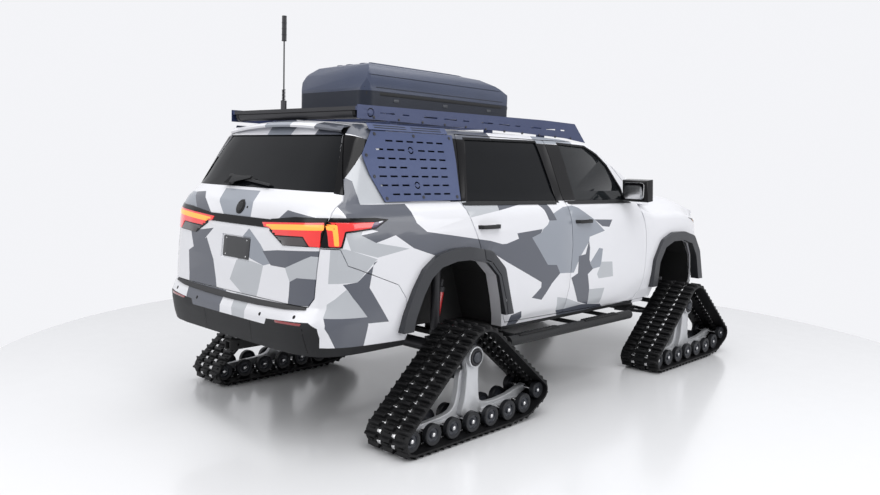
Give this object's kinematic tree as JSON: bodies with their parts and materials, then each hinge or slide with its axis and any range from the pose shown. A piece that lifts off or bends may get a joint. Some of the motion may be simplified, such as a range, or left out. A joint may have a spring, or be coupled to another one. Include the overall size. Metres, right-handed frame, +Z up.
{
  "type": "tracked suv",
  "caption": "Full-size four-door SUV on triangular rubber track units, with roof rack, roof box, slotted side panels and steps.",
  "frame": {"origin": "on the floor under the middle of the vehicle's box", "axes": "+X forward, +Y left, +Z up"},
  "size_m": [5.286, 2.5, 2.7902],
  "materials": {
    "wrapped_paint": "gloss",
    "charcoal_plastic": "satin",
    "gloss_black": "gloss",
    "tinted_glass": "gloss",
    "lamp_red": "gloss",
    "lamp_clear": "gloss",
    "chassis_black": "satin",
    "underbody": "matte",
    "axle_grey": "matte",
    "cast_metal": "matte",
    "cabin_plastic": "matte",
    "seat_leather": "satin",
    "rack_coat": "satin",
    "box_plastic": "textured",
    "track_rubber": "matte",
    "cast_silver": "satin"
  },
  "bodies": {
    "body": {"chassis": "chassis_black", "rear_axle": "axle_grey", "front_suspension": "axle_grey", "driveline": "axle_grey", "engine_block": "cast_metal", "floor_pan": "underbody", "body_sides": "wrapped_paint", "roof": "wrapped_paint", "front_fenders": "wrapped_paint", "front_bumper": "wrapped_paint", "grille": "gloss_black", "headlamps": "lamp_clear", "windshield": "tinted_glass", "quarter_glass": "tinted_glass", "rear_bumper": "wrapped_paint", "tail_lamps": "lamp_red", "arch_flares": "charcoal_plastic", "side_steps": "chassis_black", "dashboard": "cabin_plastic", "seats": "seat_leather", "slotted_panels": "rack_coat", "roof_rack": "rack_coat", "box_base": "box_plastic", "track_rear_left": "track_rubber", "unit_rear_left": "cast_silver", "track_rear_right": "track_rubber", "unit_rear_right": "cast_silver"},
    "hood_lid": {"hood": "wrapped_paint"},
    "gate": {"liftgate": "wrapped_paint", "gate_glass": "tinted_glass", "gate_trim": "gloss_black"},
    "box_cover": {"box_lid": "box_plastic"},
    "wheel": {"steering_wheel": "cabin_plastic"},
    "front_door_left": {"door_front_left": "wrapped_paint", "glass_front_left": "tinted_glass", "mirror_left": "gloss_black"},
    "front_door_right": {"door_front_right": "wrapped_paint", "glass_front_right": "tinted_glass", "mirror_right": "gloss_black"},
    "rear_door_left": {"door_rear_left": "wrapped_paint", "glass_rear_left": "tinted_glass"},
    "rear_door_right": {"door_rear_right": "wrapped_paint", "glass_rear_right": "tinted_glass"},
    "steer_left": {"track_front_left": "track_rubber", "unit_front_left": "cast_silver"},
    "steer_right": {"track_front_right": "track_rubber", "unit_front_right": "cast_silver"}
  },
  "joints": [
    {"name": "steering_left", "type": "hinge", "parent": "body", "child": "steer_left", "pos_m": [1.6565, 0.82, 0.525], "axis": [0, 0, 1], "range_deg": [-28, 28]},
    {"name": "steering_right", "type": "hinge", "parent": "body", "child": "steer_right", "pos_m": [1.6565, -0.82, 0.525], "axis": [0, 0, 1], "range_deg": [-28, 28]},
    {"name": "steering_wheel_turn", "type": "hinge", "parent": "body", "child": "wheel", "pos_m": [0.5605, 0.4, 1.34], "axis": [-0.9063, 0, 0.4226], "range_deg": [-534, 534]},
    {"name": "front_door_left_hinge", "type": "hinge", "parent": "body", "child": "front_door_left", "pos_m": [1.0665, 0.99, 1.1], "axis": [0, 0, -1], "range_deg": [0, 68]},
    {"name": "front_door_right_hinge", "type": "hinge", "parent": "body", "child": "front_door_right", "pos_m": [1.0665, -0.99, 1.1], "axis": [0, 0, 1], "range_deg": [0, 68]},
    {"name": "rear_door_left_hinge", "type": "hinge", "parent": "body", "child": "rear_door_left", "pos_m": [-0.129, 0.99, 1.1], "axis": [0, 0, -1], "range_deg": [0, 68]},
    {"name": "rear_door_right_hinge", "type": "hinge", "parent": "body", "child": "rear_door_right", "pos_m": [-0.129, -0.99, 1.1], "axis": [0, 0, 1], "range_deg": [0, 68]},
    {"name": "hood_hinge", "type": "hinge", "parent": "body", "child": "hood_lid", "pos_m": [1.24, 0, 1.575], "axis": [0, -1, 0], "range_deg": [0, 48]},
    {"name": "gate_hinge", "type": "hinge", "parent": "body", "child": "gate", "pos_m": [-2.146, 0, 2.066], "axis": [0, 1, 0], "range_deg": [0, 75]},
    {"name": "box_hinge", "type": "hinge", "parent": "body", "child": "box_cover", "pos_m": [-1.077, 0.312, 2.29], "axis": [-1, 0, 0], "range_deg": [0, 55]}
  ],
  "couplings": [
    {"joint": "steering_right", "follows": "steering_left", "ratio": 1},
    {"joint": "steering_wheel_turn", "follows": "steering_left", "ratio": 19}
  ]
}
